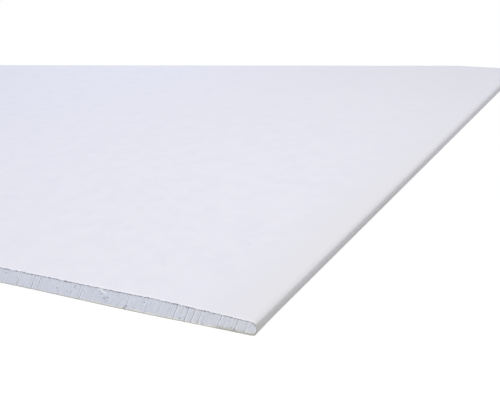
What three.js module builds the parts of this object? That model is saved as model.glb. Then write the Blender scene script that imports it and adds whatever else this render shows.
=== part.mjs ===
// A drywall sheet lying flat with its face up: a gypsum core bound in a face paper and a back paper.
// Millimetres, +Z up. X runs across the sheet from one bound edge to the other, Y runs along the bound
// edges from one cut end to the other. The origin is under the middle of the sheet, on its underside.
import * as THREE from "three";

// The whole sheet
const sheetWidth = 1200;          // across the sheet, from bound edge to bound edge
const sheetLength = 600;          // along the bound edges, from cut end to cut end
const sheetThickness = 12.5;      // underside to face, away from the tapered strips

// The papers
const facePaperThickness = 0.375;
const backPaperThickness = 0.375;
const bareFlap = 1;               // turned-in face paper left bare beside the rounded edge
const flapLap = 23;               // how far the back paper laps over the turned-in face paper

// The tapered, half-round bound edges
const taperWidth = 70;            // the face slopes down over this strip beside each bound edge
const taperDepth = 3;             // how far the face has dropped at the crest of the rounded edge
const crestReach = 7;             // the edge's outermost line to the crest above it
const crestFullness = 3.6;        // 2 is a plain quarter ellipse, more gives the edge a squarer shoulder
const heelReach = 3;              // the edge's outermost line to where the rounding meets the underside
const heelRise = 4.25;            // height of the outermost line above the turned-in paper's underside
const heelFullness = 1.5;

// Segments in each quarter of a rounded edge
const quarterSegments = 10;

// Heights above the floor and distances from the sheet's middle plane
const tipHeight = backPaperThickness + heelRise;
const crestRise = sheetThickness - taperDepth - tipHeight;
const flapTop = backPaperThickness + facePaperThickness;
const tipX = sheetWidth / 2;
const backPaperEdgeX = tipX - heelReach - bareFlap;
const flapEndX = backPaperEdgeX - flapLap;

// A rounded quarter, from the edge's outermost line to where it turns level, with the given fullness
function roundedQuarter(reach, rise, fullness) {
  const points = [];
  for (let segment = 0; segment <= quarterSegments; segment += 1) {
    const angle = (segment / quarterSegments) * (Math.PI / 2);
    const across = Math.max(0, Math.cos(angle)) ** (2 / fullness);
    const up = Math.sin(angle) ** (2 / fullness);
    points.push(new THREE.Vector2(reach * across, rise * up));
  }
  return points;
}

// Outline of the +X bound edge, from the underside round to the start of the taper. The inset is the
// depth below the face paper's outer surface, so that the paper and the core share one line.
function boundEdge(inset) {
  const heel = roundedQuarter(heelReach - inset, heelRise - inset, heelFullness)
    .map((point) => new THREE.Vector2(tipX - heelReach + point.x, tipHeight - point.y))
    .reverse();
  const crest = roundedQuarter(crestReach - inset, crestRise - inset, crestFullness)
    .map((point) => new THREE.Vector2(tipX - crestReach + point.x, tipHeight + point.y));
  const taperStart = new THREE.Vector2(tipX - taperWidth, sheetThickness - inset);
  return [...heel, ...crest.slice(1), taperStart];
}

// The same points on the -X side, in the order that carries the outline on round the section
function mirrored(points) {
  return points.map((point) => new THREE.Vector2(-point.x, point.y)).reverse();
}

function bothSides(points) {
  return [...points, ...mirrored(points)];
}

// Section of the core: flat on the back paper, stepped up over the two flaps, rounded and tapered
function coreSection() {
  const flapStep = [
    new THREE.Vector2(flapEndX, backPaperThickness),
    new THREE.Vector2(flapEndX, flapTop),
  ];
  return bothSides([...flapStep, ...boundEdge(facePaperThickness)]);
}

// Section of the face paper: one strip over the face, round both bound edges and in under the core
function facePaperSection() {
  const outer = bothSides([new THREE.Vector2(flapEndX, backPaperThickness), ...boundEdge(0)]);
  const inner = bothSides([new THREE.Vector2(flapEndX, flapTop), ...boundEdge(facePaperThickness)]);
  return [...outer, ...inner.reverse()];
}

// Section of the back paper: one flat strip whose edges lap over the flaps
function backPaperSection() {
  return [
    new THREE.Vector2(-backPaperEdgeX, 0),
    new THREE.Vector2(backPaperEdgeX, 0),
    new THREE.Vector2(backPaperEdgeX, backPaperThickness),
    new THREE.Vector2(-backPaperEdgeX, backPaperThickness),
  ];
}

// A section drawn in the XZ plane, run along Y from one cut end to the other
function alongSheet(name, section, material) {
  const geometry = new THREE.ExtrudeGeometry(new THREE.Shape(section), {
    depth: sheetLength,
    bevelEnabled: false,
  });
  const mesh = new THREE.Mesh(geometry, material);
  mesh.name = name;
  mesh.rotation.x = Math.PI / 2;
  mesh.position.y = sheetLength / 2;
  return mesh;
}

const gypsum = new THREE.MeshStandardMaterial({ color: 0xcdd1d9, roughness: 0.95, metalness: 0 });
const whitePaper = new THREE.MeshStandardMaterial({ color: 0xe6e6f0, roughness: 0.8, metalness: 0 });
const beigePaper = new THREE.MeshStandardMaterial({ color: 0xc2bca6, roughness: 0.85, metalness: 0 });

const sheet = new THREE.Group();
sheet.add(
  alongSheet("gypsum_core", coreSection(), gypsum),
  alongSheet("face_paper", facePaperSection(), whitePaper),
  alongSheet("back_paper", backPaperSection(), beigePaper),
);

export default sheet;
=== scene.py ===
"""Looks of a drywall sheet lying flat with its face up.

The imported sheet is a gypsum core, a face paper that wraps both bound edges, and a back paper. Each is
replaced here by a finer piece of the same size: the core gets the drag marks, chips and crumbled rims
of its two cut ends, and the papers get rolled and frayed cut edges. Lengths are millimetres times MM.
"""

import math
import random

import bmesh
import bpy
from mathutils import Matrix, Vector, noise


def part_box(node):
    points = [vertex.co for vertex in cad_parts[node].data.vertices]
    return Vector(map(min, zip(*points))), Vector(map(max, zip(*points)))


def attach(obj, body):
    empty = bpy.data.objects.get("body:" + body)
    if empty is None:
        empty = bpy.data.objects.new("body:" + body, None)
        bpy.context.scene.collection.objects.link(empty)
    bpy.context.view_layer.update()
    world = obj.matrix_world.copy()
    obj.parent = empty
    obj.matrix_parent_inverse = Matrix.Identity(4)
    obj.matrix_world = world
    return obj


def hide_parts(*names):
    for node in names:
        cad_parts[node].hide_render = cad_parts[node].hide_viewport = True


MM = 0.001

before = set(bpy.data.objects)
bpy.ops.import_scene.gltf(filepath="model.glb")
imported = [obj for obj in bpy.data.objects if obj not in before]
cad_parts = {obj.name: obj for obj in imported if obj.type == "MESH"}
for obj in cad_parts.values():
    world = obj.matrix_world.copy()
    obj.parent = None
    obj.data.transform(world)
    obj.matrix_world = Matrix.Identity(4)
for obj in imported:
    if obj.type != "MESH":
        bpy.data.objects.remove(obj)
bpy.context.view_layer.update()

# ---- Camera: it looks down on the near right corner of the sheet, slightly rolled ----

CAMERA_PLACE = Vector((803.05, -599.9, 217.8)) * MM
CAMERA_HEADING = math.radians(33.25)        # turned from +Y towards -X
CAMERA_TILT = math.radians(20.84)           # below level
CAMERA_ROLL = math.radians(7.05)            # clockwise, seen from behind the camera
CAMERA_LENS = 55.23                         # millimetres
CAMERA_SENSOR = 36                          # millimetres wide


def new_object(name, data):
    """An object of the scene with the given data."""
    made = bpy.data.objects.new(name, data)
    bpy.context.scene.collection.objects.link(made)
    return made


def make_camera():
    """The scene's camera, made before anything else."""
    data = bpy.data.cameras.new("view")
    data.lens = CAMERA_LENS
    data.sensor_width = CAMERA_SENSOR
    data.clip_start = 1 * MM
    camera = new_object("view", data)
    turned = (
        Matrix.Rotation(CAMERA_HEADING, 4, "Z")
        @ Matrix.Rotation(math.pi / 2 - CAMERA_TILT, 4, "X")
        @ Matrix.Rotation(-CAMERA_ROLL, 4, "Z")
    )
    camera.matrix_world = Matrix.Translation(CAMERA_PLACE) @ turned
    bpy.context.scene.camera = camera


make_camera()

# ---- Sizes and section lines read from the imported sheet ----

FACE_LOW, FACE_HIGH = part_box("face_paper")
BACK_LOW, BACK_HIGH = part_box("back_paper")
CORE_LOW, CORE_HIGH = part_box("gypsum_core")

TIP_X = FACE_HIGH.x                             # middle of the sheet to a bound edge
HALF_LENGTH = FACE_HIGH.y                       # middle of the sheet to a cut end
FACE_PAPER_THICKNESS = FACE_HIGH.z - CORE_HIGH.z
BACK_PAPER_THICKNESS = BACK_HIGH.z - BACK_LOW.z
MIDDLE_HEIGHT = FACE_HIGH.z / 2
SAME_PLACE = 0.01 * MM                          # nearer points than this are one
BEND_STEP = 2 * MM                              # longer steps of a section line are flats


def clamped(value, low=0.0, high=1.0):
    """The value, held between two limits."""
    return min(high, max(low, value))


def turned_from_underneath(point):
    """How far round the sheet's middle a point (x, z) of the section lies, from straight down."""
    return (math.atan2(point[1] - MIDDLE_HEIGHT, point[0]) + math.pi / 2) % (2 * math.pi)


def section_points(node):
    """The corners (x, z) of a node's section to the micrometre, in order round the sheet's middle."""
    corners = {
        (round(corner.co.x, 6), round(corner.co.z, 6))
        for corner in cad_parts[node].data.vertices
    }
    return sorted(corners, key=turned_from_underneath)


CORE_SECTION = section_points("gypsum_core")
TIP_HEIGHT = max(section_points("face_paper"))[1]
FLAP_END = max(x for x, z in CORE_SECTION if abs(z - CORE_LOW.z) < SAME_PLACE)
FLAP_TOP = max(z for x, z in CORE_SECTION if abs(x - FLAP_END) < SAME_PLACE)
TAPER_START = max(point for point in CORE_SECTION if abs(point[1] - CORE_HIGH.z) < SAME_PLACE)
HALF_WAY = CORE_SECTION.index(TAPER_START)
CREST = CORE_SECTION[HALF_WAY - 1]              # the bound edge's rounding ends here, under the taper
TAPER_SLOPE = (TAPER_START[1] - CREST[1]) / (CREST[0] - TAPER_START[0])
ROUNDED_EDGE = [point for point in CORE_SECTION[:HALF_WAY] if point[0] > FLAP_END] + [TAPER_START]


def face_paper_path():
    """The face paper's outer line, from the end of one flap over the face to the end of the other."""
    def is_outer(point):
        return all(math.dist(point, inner) > FACE_PAPER_THICKNESS / 2 for inner in CORE_SECTION)

    outer = [point for point in section_points("face_paper") if is_outer(point)]
    return [(FLAP_END, FACE_LOW.z), *outer, (-FLAP_END, FACE_LOW.z)]


def back_paper_path():
    """The back paper's underside, from -X to +X, so that its outer side looks down."""
    return [(BACK_LOW.x, BACK_LOW.z), (BACK_HIGH.x, BACK_LOW.z)]


def turn_at(points, index):
    """How much the path turns at one of its points, positive to the left."""
    if not 0 < index < len(points) - 1:
        return 0.0
    before = Vector(points[index]) - Vector(points[index - 1])
    after = Vector(points[index + 1]) - Vector(points[index])
    return -before.angle_signed(after)


def bowed(points):
    """The path with each short step halved, and its middle moved out so that the bend is round."""
    finer = [points[0]]
    for index in range(1, len(points)):
        start, end = Vector(points[index - 1]), Vector(points[index])
        step = end - start
        if step.length < BEND_STEP:
            turn = (turn_at(points, index - 1) + turn_at(points, index)) / 2
            rise = math.tan(turn / 4) / 2
            finer.append(tuple((start + end) / 2 + Vector((step.y, -step.x)) * rise))
        finer.append(points[index])
    return finer


def resampled(path, pitch):
    """The path with each long straight stretch divided evenly, no step longer than the pitch."""
    points = [path[0]]
    for start, end in zip(path, path[1:]):
        steps = max(1, math.ceil(math.dist(start, end) / pitch))
        for step in range(1, steps + 1):
            share = step / steps
            points.append(tuple(a + (b - a) * share for a, b in zip(start, end)))
    return points


# ---- Shader helpers ----


def add_node(tree, kind, inputs=(), **settings):
    """Adds a node, sets its settings, and gives its inputs numbers, colours or other nodes' outputs."""
    node = tree.nodes.new(kind)
    for name, value in settings.items():
        setattr(node, name, value)
    for key, value in dict(inputs).items():
        if isinstance(value, bpy.types.NodeSocket):
            tree.links.new(value, node.inputs[key])
        else:
            node.inputs[key].default_value = value
    return node


def calculated(tree, operation, first, second=0.0):
    """What a Math node makes of one or two values."""
    return add_node(tree, "ShaderNodeMath", {0: first, 1: second}, operation=operation).outputs[0]


def ramped(tree, value, start, end, low=0.0, high=1.0):
    """A value that goes from low to high while the given one goes from start to end."""
    inputs = {"Value": value, "From Min": start, "From Max": end, "To Min": low, "To Max": high}
    return add_node(tree, "ShaderNodeMapRange", inputs).outputs["Result"]


def blended(tree, share, first, second):
    """The first colour, turning to the second as the share goes from 0 to 1."""
    inputs = {0: share, 6: first, 7: second}
    return add_node(tree, "ShaderNodeMix", inputs, data_type="RGBA").outputs[2]


def clouded(tree, place, swell, detail=2.0, roughness=0.5):
    """Noise from 0 to 1 with swells of the given size in metres."""
    inputs = {"Vector": place, "Scale": 1 / swell, "Detail": detail, "Roughness": roughness}
    return add_node(tree, "ShaderNodeTexNoise", inputs).outputs[0]


def laid_over(tree, colour, second, mask, strength):
    """The colour with a second one over it where the mask is 1, at the given strength."""
    return blended(tree, calculated(tree, "MULTIPLY", mask, strength), colour, second)


def moved(tree, place, turn=(0, 0, 0), scale=(1, 1, 1)):
    """The place, turned and scaled."""
    inputs = {"Vector": place, "Rotation": turn, "Scale": scale}
    return add_node(tree, "ShaderNodeMapping", inputs).outputs[0]


def object_place(tree):
    """The place on the piece, in metres."""
    return add_node(tree, "ShaderNodeTexCoord").outputs["Object"]


def new_group(name, inputs, outputs):
    """A shader node group with named inputs and outputs, and the two nodes that hold them."""
    group = bpy.data.node_groups.new(name, "ShaderNodeTree")
    for socket, kind in inputs.items():
        group.interface.new_socket(socket, in_out="INPUT", socket_type=kind)
    for socket in outputs:
        group.interface.new_socket(socket, in_out="OUTPUT", socket_type="NodeSocketFloat")
    given = group.nodes.new("NodeGroupInput")
    result = group.nodes.new("NodeGroupOutput")
    return group, given.outputs, result.inputs


def new_material(name, roughness, specular):
    """A material with one Principled shader, whose roughness and specular level are its own."""
    material = bpy.data.materials.new(name)
    material.use_nodes = True
    tree = material.node_tree
    shader = tree.nodes["Principled BSDF"]
    shader.inputs["Roughness"].default_value = roughness
    shader.inputs["Specular IOR Level"].default_value = specular
    return material, tree, shader


def set_bump(tree, shader, height, distance, strength):
    """Gives the shader a bump of the height, which is 0 to 1 times the distance in metres."""
    inputs = {"Height": height, "Distance": distance, "Strength": strength}
    bump = add_node(tree, "ShaderNodeBump", inputs)
    tree.links.new(bump.outputs["Normal"], shader.inputs["Normal"])


# ---- Shared effects ----

FIBRE_TURNS = (0.35, 1.5, 2.6)          # directions in which fibres lie, in radians
FIBRE_STRETCH = (1, 0.14, 1)
FIBRE_WIDTH = 0.035                     # of the noise's range
SPECK_RIM = (0.03, 0.07)                # where a speck fades, in widths of its cell


def make_paper_fibres():
    """Shared effect of the papers: clouds, fibres and specks, each a mask from 0 to 1."""
    inputs = {
        "Place": "NodeSocketVector",
        "Fibre Scale": "NodeSocketFloat",
        "Speck Scale": "NodeSocketFloat",
        "Speck Share": "NodeSocketFloat",
    }
    group, given, result = new_group("paper_fibres", inputs, ("Clouds", "Fibres", "Specks"))
    place = given["Place"]
    group.links.new(clouded(group, place, 16 * MM, detail=5, roughness=0.65), result["Clouds"])

    fibres = None
    for turn in FIBRE_TURNS:
        laid = moved(group, place, (0, 0, turn), FIBRE_STRETCH)
        inputs = {"Vector": laid, "Scale": given["Fibre Scale"], "Detail": 1.5}
        hairs = add_node(group, "ShaderNodeTexNoise", inputs).outputs[0]
        middle = calculated(group, "ABSOLUTE", calculated(group, "SUBTRACT", hairs, 0.5))
        hair = ramped(group, middle, 0.0, FIBRE_WIDTH, 1.0, 0.0)
        fibres = hair if fibres is None else calculated(group, "MAXIMUM", fibres, hair)
    group.links.new(fibres, result["Fibres"])

    inputs = {"Vector": place, "Scale": given["Speck Scale"]}
    cells = add_node(group, "ShaderNodeTexVoronoi", inputs)
    dot = ramped(group, cells.outputs["Distance"], *SPECK_RIM, 1.0, 0.0)
    luck = add_node(group, "ShaderNodeSeparateColor", {"Color": cells.outputs["Color"]}).outputs[0]
    chosen = calculated(group, "LESS_THAN", luck, given["Speck Share"])
    group.links.new(calculated(group, "MULTIPLY", dot, chosen), result["Specks"])
    return group


def make_crumb_grain():
    """Shared effect of the cut stone and the cut paper: a fine crumbly height from 0 to 1."""
    inputs = {"Place": "NodeSocketVector", "Scale": "NodeSocketFloat"}
    group, given, result = new_group("crumb_grain", inputs, ("Height",))
    inputs = {"Vector": given["Place"], "Scale": given["Scale"], "Detail": 5.0, "Roughness": 0.7}
    crumbs = add_node(group, "ShaderNodeTexNoise", inputs).outputs[0]
    group.links.new(crumbs, result["Height"])
    return group


PAPER_FIBRES = make_paper_fibres()
CRUMB_GRAIN = make_crumb_grain()


def place_fibres(tree, place, fibre_scale, speck_scale, speck_share):
    """The paper fibres effect with a material's own values: its clouds, fibres and specks."""
    inputs = {
        "Place": place,
        "Fibre Scale": fibre_scale,
        "Speck Scale": speck_scale,
        "Speck Share": speck_share,
    }
    return add_node(tree, "ShaderNodeGroup", inputs, node_tree=PAPER_FIBRES).outputs


def place_grain(tree, place, scale):
    """The crumb grain effect with a material's own scale."""
    inputs = {"Place": place, "Scale": scale}
    return add_node(tree, "ShaderNodeGroup", inputs, node_tree=CRUMB_GRAIN).outputs["Height"]


# ---- Materials ----

FACE_WHITE = (0.828, 0.83, 0.912, 1)
FACE_CLOUD = (0.802, 0.804, 0.887, 1)
FACE_WARM = (0.838, 0.83, 0.895, 1)
FACE_WARMLY_LIT = (0.807, 0.806, 0.838, 1)
FACE_FIBRE = (0.86, 0.86, 0.91, 1)
FACE_SPECK = (0.58, 0.55, 0.50, 1)
FACE_TORN_AND_LIT = (0.93, 0.93, 0.95, 1)
EDGE_PAINTED_HIGHLIGHT = (0.893, 0.893, 0.927, 1)
EDGE_PAINTED_SHADE = (0.825, 0.825, 0.838, 1)
EDGE_OLIVE_NEAR_CUT = (0.79, 0.785, 0.755, 1)

BACK_BEIGE = (0.54, 0.50, 0.38, 1)
BACK_CLOUD = (0.48, 0.45, 0.35, 1)
BACK_FIBRE = (0.66, 0.62, 0.50, 1)
BACK_SPECK = (0.16, 0.15, 0.14, 1)

PLY_WHITE = (0.85, 0.85, 0.87, 1)
# The face paper's grey inner plies, darkened further: painted shade under its cut edge
PLY_GREY_AND_SHADE = (0.24, 0.24, 0.25, 1)
PLY_ASH_AND_SHADE = (0.40, 0.40, 0.40, 1)
# Fawn and moss: painted shade low on a wrapped bound edge's cut paper
PLY_SHADE_FAWN = (0.40, 0.40, 0.37, 1)
PLY_SHADE_MOSS = (0.37, 0.365, 0.295, 1)
PLY_OLIVE = (0.47, 0.465, 0.42, 1)
PLY_DULL = (0.41, 0.405, 0.365, 1)
PLY_CLEAN = (0.43, 0.435, 0.435, 1)
PLY_KHAKI = (0.57, 0.565, 0.51, 1)
PLY_STRAW = (0.72, 0.715, 0.67, 1)

GYPSUM = (0.72, 0.745, 0.83, 1)
GYPSUM_SHADED = (0.655, 0.695, 0.785, 1)
GYPSUM_GREYED = (0.698, 0.716, 0.772, 1)
# Pale powder, which also paints the relief's highlights; below it the dark colour that paints the relief's
# shade and its bubbles, with some darker mottle
GYPSUM_POWDER_AND_HIGHLIGHT = (0.91, 0.93, 0.985, 1)
GYPSUM_DARK_AND_SHADE = (0.22, 0.22, 0.24, 1)
GYPSUM_CREAM = (0.85, 0.84, 0.78, 1)
GYPSUM_CLEAN = (0.73, 0.745, 0.77, 1)

TORN_BAND = 0.5 * MM                    # the face paper's cut rim, torn to bare white fibres and painted paler still as a highlight
TORN_STRIP = (1 * MM, 5 * MM)           # the tear begins between these distances from a bound edge
EDGE_STRIP = (48 * MM, 8 * MM)          # painted light: the face turns less blue between these distances from one, as if lit more warmly there
WASHED_STRIP = (500 * MM, 220 * MM)     # and, in a wider and weaker strip, between these
WASHED_SHARE = 0.5                      # which has this share of the first one's strength
STRIP_FADED = (-100 * MM, 200 * MM)     # the first gives way to the second between these along the sheet
SHOULDER_HIGHLIGHT_STRIP = (2.0 * MM, 0.7 * MM)     # a bound edge's shoulder is painted paler between these: painted highlight
SHADED_SIDE_STRIP = (0.6 * MM, 0.2 * MM)    # and its side is painted darker and less blue between these: painted shade
SHADED_SIDE_FADED = (-120 * MM, 90 * MM)    # less and less between these along the sheet
OLIVE_NEAR_CUT_REACH = 9 * MM                   # and it is darker and more olive this far from a cut end
WRAP_SHADE_FAWN = (7.5 * MM, 6.0 * MM)        # the wrapped paper's cut edge is painted a darker fawn between these heights, going down: painted shade
WRAP_SHADE_MOSS = (4.0 * MM, 2.8 * MM)     # and darker still, the colour of moss, between these: painted shade under the rounded edge
BACK_DULLED = (50 * MM, 80 * MM)        # the back paper's cut edge is dull inwards of these
BACK_DULLNESS = 0.7
GREYED_STRIP = (75 * MM, 20 * MM)       # the core turns less blue between these
CLEAN_FOOT = (105 * MM, 150 * MM)       # and its foot is less stained inwards of these
STAIN_REACH = 4 * MM                    # its foot is fibrous this far inwards of a flap's end


def split_place(tree, place):
    """The place's three lengths."""
    return add_node(tree, "ShaderNodeSeparateXYZ", {"Vector": place}).outputs


def from_bound_edge(tree, x):
    """How far a place lies from the nearer bound edge."""
    return calculated(tree, "SUBTRACT", TIP_X, calculated(tree, "ABSOLUTE", x))


def face_paper_material():
    """White lining paper: faint clouds and fibres, a few specks, a torn rim with a painted highlight,
    painted warmer light near the bound edges, and their shoulders and sides painted as highlight and shade,
    the sides darker and more olive near a cut end.
    """
    material, tree, shader = new_material("white_lining_paper", roughness=0.72, specular=0.3)
    place = object_place(tree)
    x, y, _ = split_place(tree, place)
    from_edge = from_bound_edge(tree, x)
    clouds, fibres, specks = place_fibres(tree, place, fibre_scale=900, speck_scale=75, speck_share=0.22)

    warm = ramped(tree, clouded(tree, place, 7 * MM, detail=3, roughness=0.6), 0.35, 0.65)
    colour = blended(tree, warm, FACE_WHITE, FACE_WARM)
    colour = blended(tree, ramped(tree, clouds, 0.42, 0.66), colour, FACE_CLOUD)
    colour = laid_over(tree, colour, FACE_FIBRE, fibres, strength=0.35)
    colour = laid_over(tree, colour, FACE_SPECK, specks, strength=0.55)

    # A torn rim of bare fibres along each cut end, painted paler still: painted highlight
    ragged = ramped(tree, clouded(tree, place, 1.4 * MM), 0.3, 0.7, -0.6 * TORN_BAND, 0.6 * TORN_BAND)
    along = calculated(tree, "ADD", calculated(tree, "ABSOLUTE", y), ragged)
    torn = ramped(tree, along, HALF_LENGTH - TORN_BAND, HALF_LENGTH - 0.3 * TORN_BAND)
    torn = calculated(tree, "MULTIPLY", torn, ramped(tree, from_edge, *TORN_STRIP))
    colour = blended(tree, torn, colour, FACE_TORN_AND_LIT)

    # Painted light: the face is tinted less blue towards a bound edge, as if lit more warmly there
    strip = ramped(tree, from_edge, *EDGE_STRIP)
    strip = calculated(tree, "MULTIPLY", strip, ramped(tree, y, *STRIP_FADED, 1.0, WASHED_SHARE))
    wash = ramped(tree, from_edge, *WASHED_STRIP, 0.0, WASHED_SHARE)
    wash = calculated(tree, "MULTIPLY", wash, ramped(tree, y, *STRIP_FADED))
    colour = blended(tree, calculated(tree, "MAXIMUM", strip, wash), colour, FACE_WARMLY_LIT)

    # Painted highlight on a bound edge's shoulder
    colour = blended(tree, ramped(tree, from_edge, *SHOULDER_HIGHLIGHT_STRIP), colour, EDGE_PAINTED_HIGHLIGHT)
    # Painted shade on a bound edge's side, less and less along the sheet
    shaded_side = ramped(tree, from_edge, *SHADED_SIDE_STRIP)
    shaded_side = calculated(tree, "MULTIPLY", shaded_side, ramped(tree, y, *SHADED_SIDE_FADED, 1.0, 0.0))
    near_cut = ramped(tree, along, HALF_LENGTH - OLIVE_NEAR_CUT_REACH, HALF_LENGTH - 0.4 * OLIVE_NEAR_CUT_REACH)
    colour = blended(tree, shaded_side, colour, blended(tree, near_cut, EDGE_PAINTED_SHADE, EDGE_OLIVE_NEAR_CUT))
    tree.links.new(colour, shader.inputs["Base Color"])

    height = calculated(tree, "ADD", calculated(tree, "MULTIPLY", fibres, 0.4), clouds)
    set_bump(tree, shader, height, distance=0.05 * MM, strength=0.5)
    return material


def back_paper_material():
    """Beige-grey recycled paper with pale fibres and dark flecks."""
    material, tree, shader = new_material("beige_backing_paper", roughness=0.85, specular=0.25)
    place = object_place(tree)
    clouds, fibres, specks = place_fibres(tree, place, fibre_scale=600, speck_scale=260, speck_share=0.5)
    colour = blended(tree, ramped(tree, clouds, 0.35, 0.65), BACK_BEIGE, BACK_CLOUD)
    colour = laid_over(tree, colour, BACK_FIBRE, fibres, strength=0.55)
    colour = laid_over(tree, colour, BACK_SPECK, specks, strength=0.7)
    tree.links.new(colour, shader.inputs["Base Color"])
    height = calculated(tree, "ADD", calculated(tree, "MULTIPLY", fibres, 0.6), clouds)
    set_bump(tree, shader, height, distance=0.08 * MM, strength=0.6)
    return material


def cut_ply_material(name, outer, middle, inner, outer_share, wraps):
    """The cut edge of a paper: an outer ply, and fuzzy plies between two colours behind it."""
    material, tree, shader = new_material(name, roughness=0.95, specular=0.1)
    place = object_place(tree)
    x, _, z = split_place(tree, place)
    drawn = moved(tree, place, scale=(0.25, 1, 1))
    fuzz = clouded(tree, drawn, 0.4 * MM, detail=3, roughness=0.7)
    depth = add_node(tree, "ShaderNodeAttribute", attribute_name="ply_depth").outputs["Fac"]
    depth = calculated(tree, "ADD", depth, ramped(tree, fuzz, 0.3, 0.7, -0.25, 0.25))
    colour = blended(tree, ramped(tree, fuzz, 0.4, 0.65), middle, inner)
    colour = blended(tree, ramped(tree, depth, outer_share + 0.1, outer_share), colour, outer)
    # Painted shade on the wrapped paper's cut edge, fawn and then moss lower down
    if wraps:
        colour = blended(tree, ramped(tree, z, *WRAP_SHADE_FAWN), colour, PLY_SHADE_FAWN)
        colour = blended(tree, ramped(tree, z, *WRAP_SHADE_MOSS), colour, PLY_SHADE_MOSS)
    else:
        from_edge = from_bound_edge(tree, x)
        dull = blended(tree, ramped(tree, from_edge, *CLEAN_FOOT), PLY_DULL, PLY_CLEAN)
        colour = laid_over(tree, colour, dull, ramped(tree, from_edge, *BACK_DULLED), BACK_DULLNESS)
    tree.links.new(colour, shader.inputs["Base Color"])
    set_bump(tree, shader, place_grain(tree, place, scale=6000), distance=0.1 * MM, strength=0.6)
    return material


def gypsum_material():
    """Set gypsum: drag streaks, powder on its ridges, bubbles with painted shade, painted shade and
    highlight on its marks, chips and crumbled rim, and a foot stained by the paper.
    """
    material, tree, shader = new_material("gypsum", roughness=0.95, specular=0.1)
    place = object_place(tree)
    x, y, z = split_place(tree, place)
    drag = add_node(tree, "ShaderNodeAttribute", attribute_name="drag_place").outputs["Fac"]
    dragged = add_node(tree, "ShaderNodeCombineXYZ", {"X": drag, "Y": y, "Z": z}).outputs[0]
    drawn = moved(tree, dragged, scale=(1, 0.2, 0.08))

    broad = clouded(tree, drawn, 5 * MM, detail=3, roughness=0.6)
    fine = clouded(tree, drawn, 1.1 * MM, detail=4, roughness=0.65)
    colour = blended(tree, ramped(tree, broad, 0.3, 0.7), GYPSUM, GYPSUM_SHADED)
    from_edge = from_bound_edge(tree, x)
    colour = blended(tree, ramped(tree, from_edge, *GREYED_STRIP), colour, GYPSUM_GREYED)
    colour = blended(tree, ramped(tree, fine, 0.55, 0.8, 0.0, 0.5), colour, GYPSUM_POWDER_AND_HIGHLIGHT)
    colour = blended(tree, ramped(tree, fine, 0.45, 0.25, 0.0, 0.6), colour, GYPSUM_SHADED)

    from_middle = calculated(tree, "ABSOLUTE", x)
    near_flap = ramped(tree, from_middle, FLAP_END - STAIN_REACH, FLAP_END)
    foot_edge = ramped(tree, clouded(tree, place, 3 * MM, detail=3), 0.3, 0.7, 0.6 * MM, 1.7 * MM)
    foot_edge = calculated(tree, "ADD", foot_edge, calculated(tree, "MULTIPLY", near_flap, 0.8 * MM))
    foot = ramped(tree, calculated(tree, "SUBTRACT", z, foot_edge), 0.3 * MM, -0.3 * MM, 0.0, 0.85)
    fibrous = ramped(tree, clouded(tree, place, 2.4 * MM, detail=3, roughness=0.6), 0.36, 0.52)
    clean = blended(tree, ramped(tree, from_edge, *CLEAN_FOOT), GYPSUM_CREAM, GYPSUM_CLEAN)
    stain = blended(tree, calculated(tree, "MULTIPLY", fibrous, near_flap), clean, PLY_KHAKI)
    colour = blended(tree, foot, colour, stain)

    # The relief's tone: powder, a random mottle, and painted shade and highlight on marks, chips and
    # crumbled rims
    wear_shade_and_highlight = add_node(tree, "ShaderNodeAttribute", attribute_name="wear_shade_and_highlight").outputs["Fac"]
    drawn = moved(tree, dragged, scale=(1, 0.5, 0.5))
    mottled = clouded(tree, drawn, 1.3 * MM, detail=4, roughness=0.6)
    wear_shade_and_highlight = calculated(tree, "ADD", wear_shade_and_highlight, ramped(tree, mottled, 0.3, 0.7, -0.10, 0.18))
    colour = blended(tree, ramped(tree, wear_shade_and_highlight, 0.0, 1.0), colour, GYPSUM_POWDER_AND_HIGHLIGHT)
    colour = blended(tree, ramped(tree, wear_shade_and_highlight, 0.0, -1.0), colour, GYPSUM_DARK_AND_SHADE)

    # Bubbles: small pits in the bump, with painted shade in them
    cells = add_node(tree, "ShaderNodeTexVoronoi", {"Vector": place, "Scale": 850})
    luck = add_node(tree, "ShaderNodeSeparateColor", {"Color": cells.outputs["Color"]}).outputs
    shrunk = calculated(tree, "ADD", cells.outputs["Distance"], ramped(tree, luck[1], 0.0, 1.0, -0.05, 0.1))
    bubbles = ramped(tree, shrunk, 0.10, 0.22, 1.0, 0.0)
    bubbles = calculated(tree, "MULTIPLY", bubbles, calculated(tree, "LESS_THAN", luck[0], 0.5))
    colour = laid_over(tree, colour, GYPSUM_DARK_AND_SHADE, bubbles, strength=0.6)
    tree.links.new(colour, shader.inputs["Base Color"])

    height = calculated(tree, "ADD", place_grain(tree, place, scale=2600), fine)
    height = calculated(tree, "SUBTRACT", height, bubbles)
    set_bump(tree, shader, height, distance=0.12 * MM, strength=0.7)
    return material


# ---- The core's cut ends: drag marks, chips, pits and crumbled rims ----

CUT_RECESS = 0.25 * MM              # the core's cut end behind the papers' edges
FOOT_RECESS = 0.3                   # the share of that recess just above the back paper
FOOT_RISE = 1.5 * MM                # and the height in which it grows by the whole recess
WAVER_DEPTH = 0.9 * MM              # how far the cut wavers inwards by the +X bound edge
WAVER_LENGTH = 185 * MM
WAVER_START = 95 * MM               # from the +X bound edge to where the cut stands proudest
WAVER_REACH = 20 * MM               # how far from the cut the papers follow it
CALM_SHARE = 0.4                    # the share of the waver from the middle of the sheet on
ROWS_ABOVE_BACK = [0, 0.35, 0.75, 1.2]      # rows of the grid, in millimetres
ROWS_UNDER_FACE = [0, 0.2, 0.42, 0.7, 1.0, 1.4, 1.9]
MIDDLE_ROWS = 9
OPEN_PITCH = 1.2 * MM               # between the grid's columns
CLOSE_PITCH = 0.6 * MM              # near the +X bound edge
COLUMN_SPARE = 4 * MM               # the columns lean, so they start outside the sheet
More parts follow.
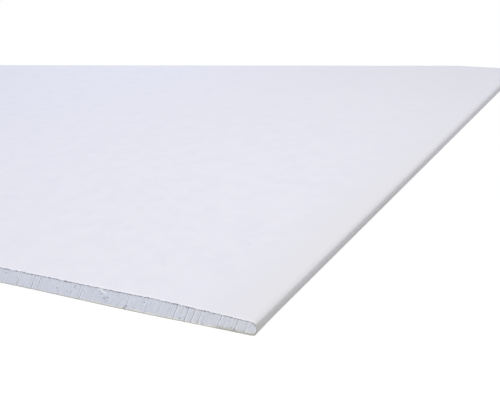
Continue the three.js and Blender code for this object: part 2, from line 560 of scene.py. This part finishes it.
SAME_COLUMN = 0.04 * MM             # nearer columns than this are one
MARK_SLANT = 0.62                   # how far the drag marks lean towards +X, for each length upwards
SLANT_SWING = 0.16                  # the share of that which comes and goes across the sheet
SLANT_LENGTH = 400 * MM
WOBBLE = 0.12 * MM                  # sideways waviness of the marks
WOBBLE_SWELL = (9 * MM, 3.5 * MM)
RIM_BAND = 1.9 * MM                 # the core may crumble away this far under the face paper
RIM_DEPTH = 0.6                     # this deep, in millimetres
RIM_START = 5.7 * MM                # it does so only above this height
RIM_GROWTH = 3 * MM                 # and fully this much higher
FOOT_BAND = 0.6 * MM                # it may also crumble this far above the back paper
FOOT_DEPTH = 0.12                   # and this deep
RIDGE_DEPTH, WAVE_DEPTH = 0.05, 0.10    # of the fine drag and the slow waves, in millimetres
HARD_EDGE = 80 * MM                 # the cut is cleaner this near a bound edge

# Across a drag mark: offset in its widths, share of its depth, and tone, painted shade on its steep wall
# below 0 and painted highlight on its slope above
MARK_PROFILE = [
    (-0.50, 0.0, 0.0), (-0.30, 0.6, -1.3), (-0.02, 1.0, -1.2), (0.16, 0.7, 1.5), (0.48, 0.3, 1.2),
    (1.00, 0.0, 0.0),
]
FULL_MARK = 0.3 * MM                # a mark this deep shows its whole painted shade and highlight

# Drag marks near the +X corner of the near end, bold, plain and faint: depth, width, and places from
# the bound edge, in millimetres
CORNER_MARKS = [
    (0.19, 1.2, [46, 54, 170, 183.5]),
    (0.13, 1.1, [12.5, 23.5, 37, 41.5, 89.5, 127, 129, 164.5]),
    (0.07, 1.0, [
        6, 14.5, 20, 34, 49.5, 57, 58.5, 65.5, 75, 93.5, 95, 96.5, 143, 146, 162, 167, 172, 177, 182,
        186,
    ]),
]
# Chips there, pale with powder and dark with painted shade: depth and tone, then each chip's place from the
# bound edge, height, half width, half height and lean, in millimetres
CORNER_CHIPS = [
    (0.2, 1.1, [(109.5, 10.5, 1.2, 0.9, -1), (107.5, 9.5, 1.1, 1.1, -1.3), (106.5, 8.5, 0.8, 0.9, -1)]),
    (0.15, 0.7, [(112, 11, 0.9, 0.6, -1), (75, 8.5, 0.9, 0.7, 1.5), (77.5, 6.5, 1.2, 0.6, 1.8)]),
    (0.3, -0.8, [(92, 2.5, 0.9, 0.5, 1.6), (94, 1, 0.9, 0.5, 1.6), (52, 1.5, 0.6, 0.5, 0.3)]),
    (0.3, -0.6, [
        (111.5, 9, 0.8, 0.6, 1.5), (110.5, 7.5, 1.4, 0.6, 1.8), (109, 5, 1.2, 0.5, 1.3),
        (105.5, 6, 1.1, 0.7, 1.6), (125.5, 7.5, 0.7, 0.6, 1.2), (132, 9, 1, 0.7, 1.6),
        (137, 4.5, 0.8, 0.8, 1), (149, 5, 0.8, 0.5, 0.3), (195, 8.5, 1.2, 0.5, 1.4),
        (45.5, 10, 0.9, 0.6, 1.2), (43, 10, 1.4, 0.5, 2), (36.5, 1, 0.9, 0.4, 0.4),
    ]),
    (0.25, -0.45, [
        (107.5, 4.5, 1.2, 0.5, 1.2), (106.5, 3.5, 1.1, 0.5, 1.4), (108.5, 2.5, 0.8, 0.5, 1.2),
        (118.5, 4.5, 1.1, 0.5, 2), (98, 2, 0.5, 0.5, 1), (77, 7.5, 1.2, 0.5, 1.2),
        (140.5, 4.5, 0.8, 0.6, 0.6), (139.5, 11, 0.9, 0.6, 1.6), (147.5, 3, 0.6, 0.5, 0.8),
        (25, 1.5, 1, 0.5, 0.8), (17, 2, 1.4, 0.3, 2), (15, 1, 1.2, 0.4, 1),
        (17, 9, 0.6, 0.4, 1), (13, 9, 0.9, 0.4, 1), (9, 9, 0.7, 0.4, 1), (6.5, 8.5, 1.3, 0.3, 0.6),
        (3.5, 8.5, 0.7, 0.4, 1), (2, 8, 0.6, 0.4, 1),
    ]),
]
CORNER_REACH = 200 * MM             # the marks above fill the cut end this far from the bound edge
CHIP_COLUMNS = (-1.2, -0.7, -0.25, 0.25, 0.7, 1.2)      # of the grid, in the chip's half widths
WEAR_CELL = 5 * MM                  # marks and chips are looked up by stretches of this length

# Drag marks and chips elsewhere: the least gap, the average length beyond it, and the ranges of their
# sizes in millimetres
MARK_GAP, MARK_SPACING = 1.6 * MM, 7.5 * MM
MARK_DEPTHS = (0.03, 0.24, 0.07)    # the last is the usual one
MARK_WIDTHS = (0.8, 1.4)
CHIP_GAP, CHIP_SPACING = 1 * MM, 22 * MM
CHIP_HEIGHTS = (1.3, 11)
CHIP_WIDTHS = (0.5, 1.2)
CHIP_FLATNESS = 0.8
CHIP_LEANS = (0.2, 2.0)
CHIP_DEPTHS = (0.25, 0.5)
# below 0 painted shade in a chip's hollow, above 0 pale powder
CHIP_TONES = (-0.9, -0.7, -0.5, 1.0)
FAR_DEPTHS = (0.3, 1.5)             # of the far end's marks, as shares of the near end's

# Swells of the relief: their length, their height and the layer of noise that they are from
MARK_FADING = (1.1 * MM, 5 * MM, 1)
CHIP_EDGES = (0.8 * MM, 0.8 * MM, 2)
FINE_RIDGES = (2.3 * MM, 14 * MM, 4)
SLOW_WAVES = (17 * MM, 14 * MM, 5)
CRUMBS = (1.2 * MM, 4 * MM, 6)
LOOSE_STRETCHES = (7 * MM, 14 * MM, 7)


def cut_waver(x):
    """How far the saw strayed inwards at a place across the sheet."""
    turns = (TIP_X - WAVER_START - x) / WAVER_LENGTH
    strength = CALM_SHARE + (1 - CALM_SHARE) * max(0.0, x / TIP_X)
    return WAVER_DEPTH * strength * (1 - math.cos(2 * math.pi * turns)) / 2


def scattered_marks(seed, reach_from, reach_to):
    """Drag marks strewn over the cut end between two places across the sheet."""
    dice = random.Random(seed)
    marks = []
    place = reach_from
    while place < reach_to:
        marks.append((place, dice.triangular(*MARK_DEPTHS) * MM, dice.uniform(*MARK_WIDTHS) * MM))
        place += MARK_SPACING * dice.expovariate(1.0) + MARK_GAP
    return marks


def scattered_chips(seed, reach_from, reach_to):
    """Chips strewn over the cut end between two places across the sheet."""
    dice = random.Random(seed)
    chips = []
    place = reach_from
    while place < reach_to:
        height = dice.uniform(*CHIP_HEIGHTS) * MM
        width = dice.uniform(*CHIP_WIDTHS) * MM
        lean = dice.uniform(*CHIP_LEANS)
        tone = dice.choice(CHIP_TONES)
        depth = dice.uniform(*CHIP_DEPTHS) * MM
        chips.append((place, height, width, width * CHIP_FLATNESS, lean, depth, tone))
        place += CHIP_SPACING * dice.expovariate(1.0) + CHIP_GAP
    return chips


def corner_marks():
    """The drag marks by the +X corner, with their places across the sheet."""
    return [
        (TIP_X - place * MM, depth * MM, width * MM)
        for depth, width, places in CORNER_MARKS for place in places
    ]


def corner_chips():
    """The chips by the +X corner, with their places across the sheet."""
    return [
        (TIP_X - place * MM, height * MM, width * MM, rise * MM, lean, depth * MM, tone)
        for depth, tone, chips in CORNER_CHIPS for place, height, width, rise, lean in chips
    ]


def deepened(marks, seed):
    """The same marks with other depths, for the sheet's other cut end."""
    dice = random.Random(seed)
    return [(place, depth * dice.uniform(*FAR_DEPTHS), width) for place, depth, width in marks]


def lean_at(place):
    """How far the drag marks lean at a place across the sheet."""
    swing = math.cos(2 * math.pi * (TIP_X - place) / SLANT_LENGTH)
    return MARK_SLANT * (1 - SLANT_SWING * swing)


def drag_line(place, z):
    """Where the drag line that crosses half the sheet's height at the given place lies at a height."""
    wobble = noise.noise(Vector((place / WOBBLE_SWELL[0], z / WOBBLE_SWELL[1], 7)))
    return place + (z - MIDDLE_HEIGHT) * lean_at(place) + WOBBLE * wobble


def drag_place(x, z):
    """The place of the drag line through (x, z)."""
    place = x
    for _ in range(3):
        place += x - drag_line(place, z)
    return place


def on_mark_profile(offset):
    """Depth and tone across a drag mark, each as a share of the mark's own."""
    for (start, low, dim), (end, high, bright) in zip(MARK_PROFILE, MARK_PROFILE[1:]):
        if start <= offset < end:
            share = (offset - start) / (end - start)
            return low + (high - low) * share, dim + (bright - dim) * share
    return 0.0, 0.0


class CutEnd:
    """The relief of a cut end of the core: its depth, and a tone from -1, painted shade, to 1, powder and
    painted highlight.
    """

    def __init__(self, marks, chips, seed):
        self.marks = self.sorted_in_cells(marks)
        self.chips = self.sorted_in_cells(chips)
        self.seed = seed

    @staticmethod
    def sorted_in_cells(wear_shade_and_highlight):
        """The marks or chips that reach each stretch across the sheet."""
        cells = {}
        for row in wear_shade_and_highlight:
            cell = math.floor(row[0] / WEAR_CELL)
            for near in (cell - 1, cell, cell + 1):
                cells.setdefault(near, []).append(row)
        return cells

    def swell(self, x, z, swells):
        """Smooth noise from about -1 to 1, in swells of a given length, height and layer."""
        length, height, layer = swells
        return noise.noise(Vector((x / length, z / height, self.seed * 10 + layer)))

    def relief(self, x, z, under_face, above_back):
        """Depth and tone at (x, z), which lies that far under the face and above the back paper."""
        place = drag_place(x, z)
        recess = CUT_RECESS * min(1.0, FOOT_RECESS + above_back / FOOT_RISE)
        parts = [(recess + cut_waver(x), 0.0), self.fine_drag(place, z)]
        for middle, depth, width in self.marks.get(math.floor(place / WEAR_CELL), []):
            depth *= clamped(0.9 + 0.8 * self.swell(middle, z, MARK_FADING), 0.2, 1.2)
            # Painted shade on the mark's steep wall, painted highlight on its slope
            sink, tone = on_mark_profile((place - middle) / width)
            parts.append((depth * sink, depth / FULL_MARK * tone))
        # A chip's hollow: painted shade where its tone is below 0, pale powder where it is above
        for middle, height, width, rise, lean, depth, tone in self.chips.get(math.floor(x / WEAR_CELL), []):
            side = (x - middle - lean * (z - height)) / width
            spread = math.hypot(side, (z - height) / rise) + 0.5 * self.swell(x, z, CHIP_EDGES)
            hollow = max(0.0, 1 - spread * spread)
            parts.append((depth * hollow, tone * min(1.0, 1.7 * hollow)))
        parts.append(self.crumbled_rims(place, x, z, under_face, above_back))
        return sum(depth for depth, tone in parts), sum(tone for depth, tone in parts)

    def fine_drag(self, place, z):
        """Ridges that run with the drag marks, and a slow waviness of the whole cut, with painted shade in
        the ridges' grooves and painted highlight on their crests.
        """
        ridges = RIDGE_DEPTH * self.swell(place, z, FINE_RIDGES)
        waves = WAVE_DEPTH * self.swell(place, z, SLOW_WAVES)
        return (ridges + waves) * MM, -1.5 * ridges

    def crumbled_rims(self, place, x, z, under_face, above_back):
        """The core breaks away just under the face paper, with painted shade there, and a little above the
        back paper.
        """
        softness = 0.7 + 0.1 * min(1.0, (TIP_X - abs(x)) / HARD_EDGE)
        loose = 0.6 + 0.9 * self.swell(place, z, CRUMBS)
        loose = clamped(loose + 0.6 * self.swell(place, 0, LOOSE_STRETCHES), 0.3)
        band = RIM_BAND * softness * (0.45 + 0.55 * loose)
        top = max(0.0, 1 - under_face / band) * clamped((z - RIM_START) / RIM_GROWTH)
        foot = max(0.0, 1 - above_back / FOOT_BAND)
        depth = RIM_DEPTH * min(1.0, 2 * top) + FOOT_DEPTH * foot * loose
        # Painted shade where the core crumbled away under the face paper
        return depth * MM, -1.05 * min(1.0, 2.2 * top) * (0.6 + 0.4 * loose)


def is_inside(x, z, outline):
    """True if (x, z) lies inside the closed outline."""
    inside = False
    for (x1, z1), (x2, z2) in zip(outline, outline[1:] + outline[:1]):
        if (z1 > z) != (z2 > z) and x < x1 + (x2 - x1) * (z - z1) / (z2 - z1):
            inside = not inside
    return inside


def distance_to_line(point, start, end):
    """How far a point of the section lies from a stretch of a line."""
    point, start, end = Vector(point), Vector(start), Vector(end)
    along = (point - start).dot(end - start) / (end - start).length_squared
    return (point - start.lerp(end, clamped(along))).length


def roof_height(x):
    """Height of the core's top, with its tapered strips drawn on past the rounded edges."""
    beyond = max(0.0, abs(x) - TAPER_START[0])
    return TAPER_START[1] - beyond * TAPER_SLOPE


def under_face_paper(x, z):
    """How far a point of the core's cut end lies from the face paper."""
    if abs(x) < CREST[0] - 2 * MM:
        return roof_height(x) - z
    return min(
        distance_to_line((abs(x), z), start, end)
        for start, end in zip(ROUNDED_EDGE, ROUNDED_EDGE[1:])
    )


def above_back_paper(x, z):
    """How far a point of the core's cut end lies above the paper under it."""
    return z - (CORE_LOW.z if abs(x) < FLAP_END else FLAP_TOP)


TRIM_REACH = 3 * MM                 # how far past a stretch of outline its cut may run
TRIM_SNAP = 0.002 * MM              # corners nearer to the cut than this are on it


def cut_along(bm, start, end):
    """Cuts the upright grid along one stretch of the section's outline."""
    low = min(start[0], end[0]) - TRIM_REACH
    high = max(start[0], end[0]) + TRIM_REACH
    faces = [face for face in bm.faces if low < face.calc_center_median().x < high]
    edges = {edge for face in faces for edge in face.edges}
    verts = {vert for face in faces for vert in face.verts}
    bmesh.ops.bisect_plane(
        bm,
        geom=[*faces, *edges, *verts],
        dist=TRIM_SNAP,
        plane_co=(start[0], 0, start[1]),
        plane_no=Vector((start[1] - end[1], 0, end[0] - start[0])).normalized(),
    )


def is_border(start, end):
    """True if a stretch of the outline already is a border of the upright grid."""
    on_roof = all(abs(z - roof_height(x)) < SAME_PLACE for x, z in (start, end))
    on_floor = all(abs(z - CORE_LOW.z) < SAME_PLACE for x, z in (start, end))
    return on_roof or on_floor


def trim_to_section(bm, outline):
    """Cuts the upright grid to the outline and deletes what is outside."""
    for start, end in zip(outline, outline[1:] + outline[:1]):
        if not is_border(start, end):
            cut_along(bm, start, end)
    outside = []
    for face in bm.faces:
        middle = face.calc_center_median()
        by_edge = abs(middle.x) > FLAP_END - TRIM_REACH
        if by_edge and not is_inside(middle.x, middle.z, outline):
            outside.append(face)
    bmesh.ops.delete(bm, geom=outside, context="FACES")


def mesh_object(name, bm, materials):
    """Makes the bmesh an object with the given materials, and frees it."""
    mesh = bpy.data.meshes.new(name)
    bm.to_mesh(mesh)
    bm.free()
    for material in materials:
        mesh.materials.append(material)
    return new_object(name, mesh)


def new_piece(name, bm, materials, replaced):
    """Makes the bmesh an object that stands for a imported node."""
    piece = mesh_object(name, bm, materials)
    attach(piece, "root")
    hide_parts(replaced)
    return piece


def column_places(marks, chips):
    """Places of the grid's columns, from -X to +X: a steady pitch, and more at each mark and chip."""
    steady = []
    place = -TIP_X - COLUMN_SPARE
    while place < TIP_X + COLUMN_SPARE:
        steady.append(place)
        place += CLOSE_PITCH if place > TIP_X - CORNER_REACH else OPEN_PITCH
    steady.append(place)
    places = []
    for middle, _, width in marks:
        stretch = [middle + offset * width for offset, _, _ in MARK_PROFILE]
        steady = [place for place in steady if not stretch[0] < place < stretch[-1]]
        places += stretch
    for place, height, width, *_ in chips:
        middle = drag_place(place, height)
        places += [middle + width * share for share in CHIP_COLUMNS]
    kept = []
    for place in sorted(places + steady):
        if not kept or place - kept[-1] > SAME_COLUMN:
            kept.append(place)
    return kept


def row_heights(place):
    """Heights of the grid's rows on one drag line: crowded under the face and above the back paper."""
    top = CORE_HIGH.z
    for _ in range(4):
        top = roof_height(drag_line(place, top))
    low = [CORE_LOW.z + rise * MM for rise in ROWS_ABOVE_BACK]
    high = [top - drop * MM for drop in reversed(ROWS_UNDER_FACE)]
    step = (high[0] - low[-1]) / (MIDDLE_ROWS + 1)
    return [*low, *(low[-1] + step * row for row in range(1, MIDDLE_ROWS + 1)), *high]


def upright_grid(columns):
    """A grid over the near cut end, whose columns lean as the drag marks do."""
    heights = [row_heights(place) for place in columns]
    bm = bmesh.new()
    steps_across, steps_up = len(columns) - 1, len(heights[0]) - 1
    bmesh.ops.create_grid(bm, x_segments=steps_across, y_segments=steps_up, size=0.5)
    for vert in bm.verts:
        column = round((vert.co.x + 0.5) * steps_across)
        z = heights[column][round((vert.co.y + 0.5) * steps_up)]
        vert.co = (drag_line(columns[column], z), -HALF_LENGTH, z)
    return bm


def core_slab():
    """The gypsum core: one slab with both cut ends worked in relief."""
    open_from, open_to = -TIP_X, TIP_X - CORNER_REACH
    marks = corner_marks() + scattered_marks(3, open_from, open_to)
    chips = corner_chips() + scattered_chips(5, open_from, open_to)
    near_end = CutEnd(marks, chips, 1)
    far_end = CutEnd(deepened(marks, 11), scattered_chips(13, -TIP_X, TIP_X), 2)

    bm = upright_grid(column_places(marks, chips))
    trim_to_section(bm, CORE_SECTION)
    rim = [edge for edge in bm.edges if edge.is_boundary]
    sides = bmesh.ops.extrude_edge_only(bm, edges=rim)["geom"]
    for part in sides:
        if isinstance(part, bmesh.types.BMVert):
            part.co.y = 0
    everything = [*bm.verts, *bm.edges, *bm.faces]
    bmesh.ops.mirror(bm, geom=everything, axis="Y", merge_dist=SAME_PLACE)
    bmesh.ops.recalc_face_normals(bm, faces=bm.faces)

    # The relief's tone: powder, and painted shade and highlight
    wear_shade_and_highlight = bm.verts.layers.float.new("wear_shade_and_highlight")
    drag = bm.verts.layers.float.new("drag_place")
    for vert in bm.verts:
        x, y, z = vert.co
        if abs(y) < HALF_LENGTH / 2:
            continue
        end = near_end if y < 0 else far_end
        depth, tone = end.relief(x, z, under_face_paper(x, z), above_back_paper(x, z))
        vert.co.y -= math.copysign(depth, y)
        vert[wear_shade_and_highlight] = tone
        vert[drag] = drag_place(x, z)
    for face in bm.faces:
        face.smooth = True
    return new_piece("gypsum_slab", bm, [gypsum_material()], "gypsum_core")


# ---- The two papers: thin linings with rolled, frayed edges at the cut ends ----

SHEET_PITCH = 10 * MM                           # between the papers' rows and columns
CUT_EDGE_ROWS = [0, 0.15, 0.35, 0.65, 1.1, 2, 5]    # rows close to a cut end, in millimetres from it
FRAY_CUTS = 12                                  # finer columns between two columns at a cut end
FRAYED_BAND = 1.3 * MM
ROLL_WIDTH = 1.0 * MM
HEEL_BURR = 0.34 * MM                           # the saw pushed the paper out under a bound edge
BURR_REACH = 22 * MM                            # this far from the cut end
BURR_EASE = 2.5 * MM                            # and from here outwards of the back paper


def end_distance(vert):
    """How far a vertex lies from the nearer cut end."""
    return HALF_LENGTH - abs(vert.co.y)


def row_places():
    """Where the rows of a paper lie along the sheet, from the near cut end to the far one."""
    near = [-HALF_LENGTH + row * MM for row in CUT_EDGE_ROWS]
    steps = round(-2 * near[-1] / SHEET_PITCH)
    middle = [near[-1] * (1 - 2 * step / steps) for step in range(1, steps)]
    return [*near, *middle, *(-place for place in reversed(near))]


def paper_surface(path):
    """The outer surface of a paper: its path across the sheet, drawn out along it row by row."""
    bm = bmesh.new()
    rows = row_places()
    points = resampled(bowed(bowed(path)), SHEET_PITCH)
    verts = [bm.verts.new((x, rows[0], z)) for x, z in points]
    edges = [bm.edges.new(pair) for pair in zip(verts, verts[1:])]
    for place in rows[1:]:
        drawn = bmesh.ops.extrude_edge_only(bm, edges=edges)["geom"]
        verts = {part for part in drawn if isinstance(part, bmesh.types.BMVert)}
        for vert in verts:
            vert.co.y = place
        edges = [
            part for part in drawn
            if isinstance(part, bmesh.types.BMEdge) and verts.issuperset(part.verts)
        ]
    wide_edges = [
        edge for edge in bm.edges
        if all(end_distance(vert) < FRAYED_BAND for vert in edge.verts)
        and abs(edge.verts[0].co.x - edge.verts[1].co.x) > SHEET_PITCH / 2
    ]
    bmesh.ops.subdivide_edges(bm, edges=wide_edges, cuts=FRAY_CUTS, use_grid_fill=True)
    return bm


def edge_swell(x, length, seed, layer):
    """Smooth noise from about -1 to 1 along a paper's cut edge, with swells of the given length."""
    return noise.noise(Vector((x / length, seed, layer)))


def torn_back(x, seed, roughness):
    """How far the paper's cut edge is torn back at a place across the sheet."""
    torn = 0.10 * abs(edge_swell(x, 0.9 * MM, seed, 0)) * roughness
    torn += 0.12 * abs(edge_swell(x, 3.1 * MM, seed, 4))
    nick = edge_swell(x, 9 * MM, seed, 9) - 0.45
    return (torn + 1.2 * max(0.0, nick)) * MM


def pressed_down(x, seed):
    """How far the saw bent the paper's cut edge down at a place across the sheet, as a share."""
    coarse = edge_swell(x, 5 * MM, seed, 2)
    rough = edge_swell(x, 1.4 * MM, seed, 6)
    away = clamped((TIP_X - abs(x) - HARD_EDGE) / HARD_EDGE)
    return max(0.0, 0.6 + (0.4 + 0.4 * away) * coarse + (0.5 + 0.6 * away) * rough)


def heel_burr(vert):
    """How far the saw pushed the wrapped paper out, under a bound edge and near a cut end."""
    outwards = clamped((abs(vert.co.x) - BACK_HIGH.x) / BURR_EASE)
    downwards = clamped(1.5 - 1.5 * vert.co.z / TIP_HEIGHT)
    return HEEL_BURR * outwards * downwards * max(0.0, 1 - end_distance(vert) / BURR_REACH)


def work_cut_edges(bm, roll, seed, roughness):
    """Draws the paper back along the cut's waver, bends it down at the cut and frays its edge."""
    bm.normal_update()
    for vert in bm.verts:
        x = vert.co.x
        distance = end_distance(vert)
        side = math.copysign(1, vert.co.y)
        vert.co.y -= side * cut_waver(x) * max(0.0, 1 - distance / WAVER_REACH)
        if distance > FRAYED_BAND:
            continue
        bend = max(0.0, 1 - distance / ROLL_WIDTH) ** 2 * max(0.0, 2 * vert.normal.z - 1)
        vert.co -= vert.normal * roll * pressed_down(x, seed + side) * bend
        vert.co.y -= side * torn_back(x, seed + side, roughness) * (1 - distance / FRAYED_BAND)


def paper_lining(name, path, thickness, roll, seed, roughness, materials, replaced):
    """One paper: its surface with worked cut edges, its thickness, and its cut plies marked."""
    bm = paper_surface(path)
    work_cut_edges(bm, roll, seed, roughness)
    ply_depth = bm.verts.layers.float.new("ply_depth")
    bm.normal_update()
    outer = set(bm.verts)
    outwards = {vert: vert.normal.copy() for vert in outer}
    bmesh.ops.solidify(bm, geom=bm.faces, thickness=thickness)
    for vert in bm.verts:
        vert[ply_depth] = float(vert not in outer)
        if vert in outer:
            vert.co += outwards[vert] * heel_burr(vert)
            vert.co.z = max(vert.co.z, BACK_LOW.z)
    bm.normal_update()
    for face in bm.faces:
        is_cut = len({vert[ply_depth] for vert in face.verts}) > 1
        face.material_index = int(is_cut)
        face.smooth = not is_cut
    return new_piece(name, bm, materials, replaced)


def face_lining():
    """The face paper, which wraps both bound edges and ends in a flap under each."""
    return paper_lining(
        "face_lining",
        path=face_paper_path(),
        thickness=FACE_PAPER_THICKNESS,
        roll=0.85 * MM,
        seed=21,
        roughness=1.0,
        materials=[
            face_paper_material(),
            # its grey and ash plies are partly painted shade under the cut edge
            cut_ply_material("cut_white_paper", PLY_WHITE, PLY_GREY_AND_SHADE, PLY_ASH_AND_SHADE, 0.2, wraps=True),
        ],
        replaced="face_paper",
    )


def back_lining():
    """The back paper, glued over the flaps."""
    return paper_lining(
        "back_lining",
        path=back_paper_path(),
        thickness=BACK_PAPER_THICKNESS,
        roll=0.03 * MM,
        seed=33,
        roughness=1.6,
        materials=[
            back_paper_material(),
            cut_ply_material("cut_beige_paper", PLY_KHAKI, PLY_OLIVE, PLY_STRAW, 0.3, wraps=False),
        ],
        replaced="back_paper",
    )


# ---- Floor, world and lamps ----

FLOOR_REACH = 12                    # metres
FLOOR_DROP = 0.1 * MM
FLOOR_GREY = (0.62, 0.62, 0.62, 1)
FLOOR_GLOW = 1.09                   # what the camera sees of a floor that shows as white
FLOOR_GLOW_SHARE = 0.88             # the rest shows the object's shadow
SKY_LIGHT = (0.45, 0.45, 0.475, 1)
WHITE = (1, 1, 1, 1)


def seen_directly(tree):
    """1 where the camera looks, straight or through a gloss or glass, and otherwise 0."""
    path = add_node(tree, "ShaderNodeLightPath").outputs
    direct = calculated(tree, "MAXIMUM", path["Is Camera Ray"], path["Is Glossy Ray"])
    return calculated(tree, "MAXIMUM", direct, path["Is Transmission Ray"])


def floor_material():
    """A pale material that shows as white and keeps the object's shadow."""
    material = bpy.data.materials.new("floor")
    material.use_nodes = True
    tree = material.node_tree
    tree.nodes.clear()
    share = calculated(tree, "MULTIPLY", seen_directly(tree), FLOOR_GLOW_SHARE)
    matt = add_node(tree, "ShaderNodeBsdfDiffuse", {"Color": FLOOR_GREY}).outputs[0]
    glow = add_node(tree, "ShaderNodeEmission", {"Color": WHITE, "Strength": FLOOR_GLOW}).outputs[0]
    mixed = add_node(tree, "ShaderNodeMixShader", {0: share, 1: matt, 2: glow}).outputs[0]
    add_node(tree, "ShaderNodeOutputMaterial", {"Surface": mixed})
    return material


def make_floor():
    """A level floor just under the sheet."""
    bm = bmesh.new()
    bmesh.ops.create_grid(bm, x_segments=1, y_segments=1, size=FLOOR_REACH)
    bmesh.ops.translate(bm, verts=bm.verts, vec=(0, 0, -FLOOR_DROP))
    floor = mesh_object("floor", bm, [floor_material()])


def make_world():
    """Soft even light from all sides, and a white background."""
    world = bpy.data.worlds.new("studio")
    world.use_nodes = True
    tree = world.node_tree
    tree.nodes.clear()
    light = add_node(tree, "ShaderNodeBackground", {"Color": SKY_LIGHT}).outputs[0]
    backdrop = add_node(tree, "ShaderNodeBackground", {"Color": WHITE}).outputs[0]
    mixed = add_node(tree, "ShaderNodeMixShader", {0: seen_directly(tree), 1: light, 2: backdrop})
    add_node(tree, "ShaderNodeOutputWorld", {"Surface": mixed.outputs[0]})
    bpy.context.scene.world = world


def area_lamp(name, place, aim, size, level, colour):
    """Makes a square lamp; the level is what it gives a white surface that faces it at its aim."""
    data = bpy.data.lights.new(name, "AREA")
    reach = Vector(aim) - Vector(place)
    data.size = size
    data.color = colour
    data.energy = level * (math.pi * reach.length) ** 2
    lamp = new_object(name, data)
    lamp.matrix_world = Matrix.Translation(place) @ reach.to_track_quat("-Z", "Y").to_matrix().to_4x4()


def make_lamps():
    """A key lamp over the near corner, a cool lamp over the far left, and a low one at the front."""
    area_lamp(
        "key",
        place=(0.67, -0.22, 1.0),
        aim=(0.67, -0.22, 0),
        size=0.5,
        level=0.355,
        colour=(1.0, 0.98, 0.91),
    )
    area_lamp(
        "cool",
        place=(-0.16, 0.54, 1.0),
        aim=(-0.16, 0.54, 0),
        size=0.6,
        level=0.405,
        colour=(0.82, 0.87, 1.0),
    )
    area_lamp(
        "front",
        place=(0.45, -2.9, 0.85),
        aim=(0.45, -0.3, 0),
        size=1.0,
        level=0.38,
        colour=(1.0, 1.0, 1.0),
    )


# ---- The scene ----

core_slab()
face_lining()
back_lining()
make_floor()
make_world()
make_lamps()

bpy.context.scene.view_settings.view_transform = "Standard"
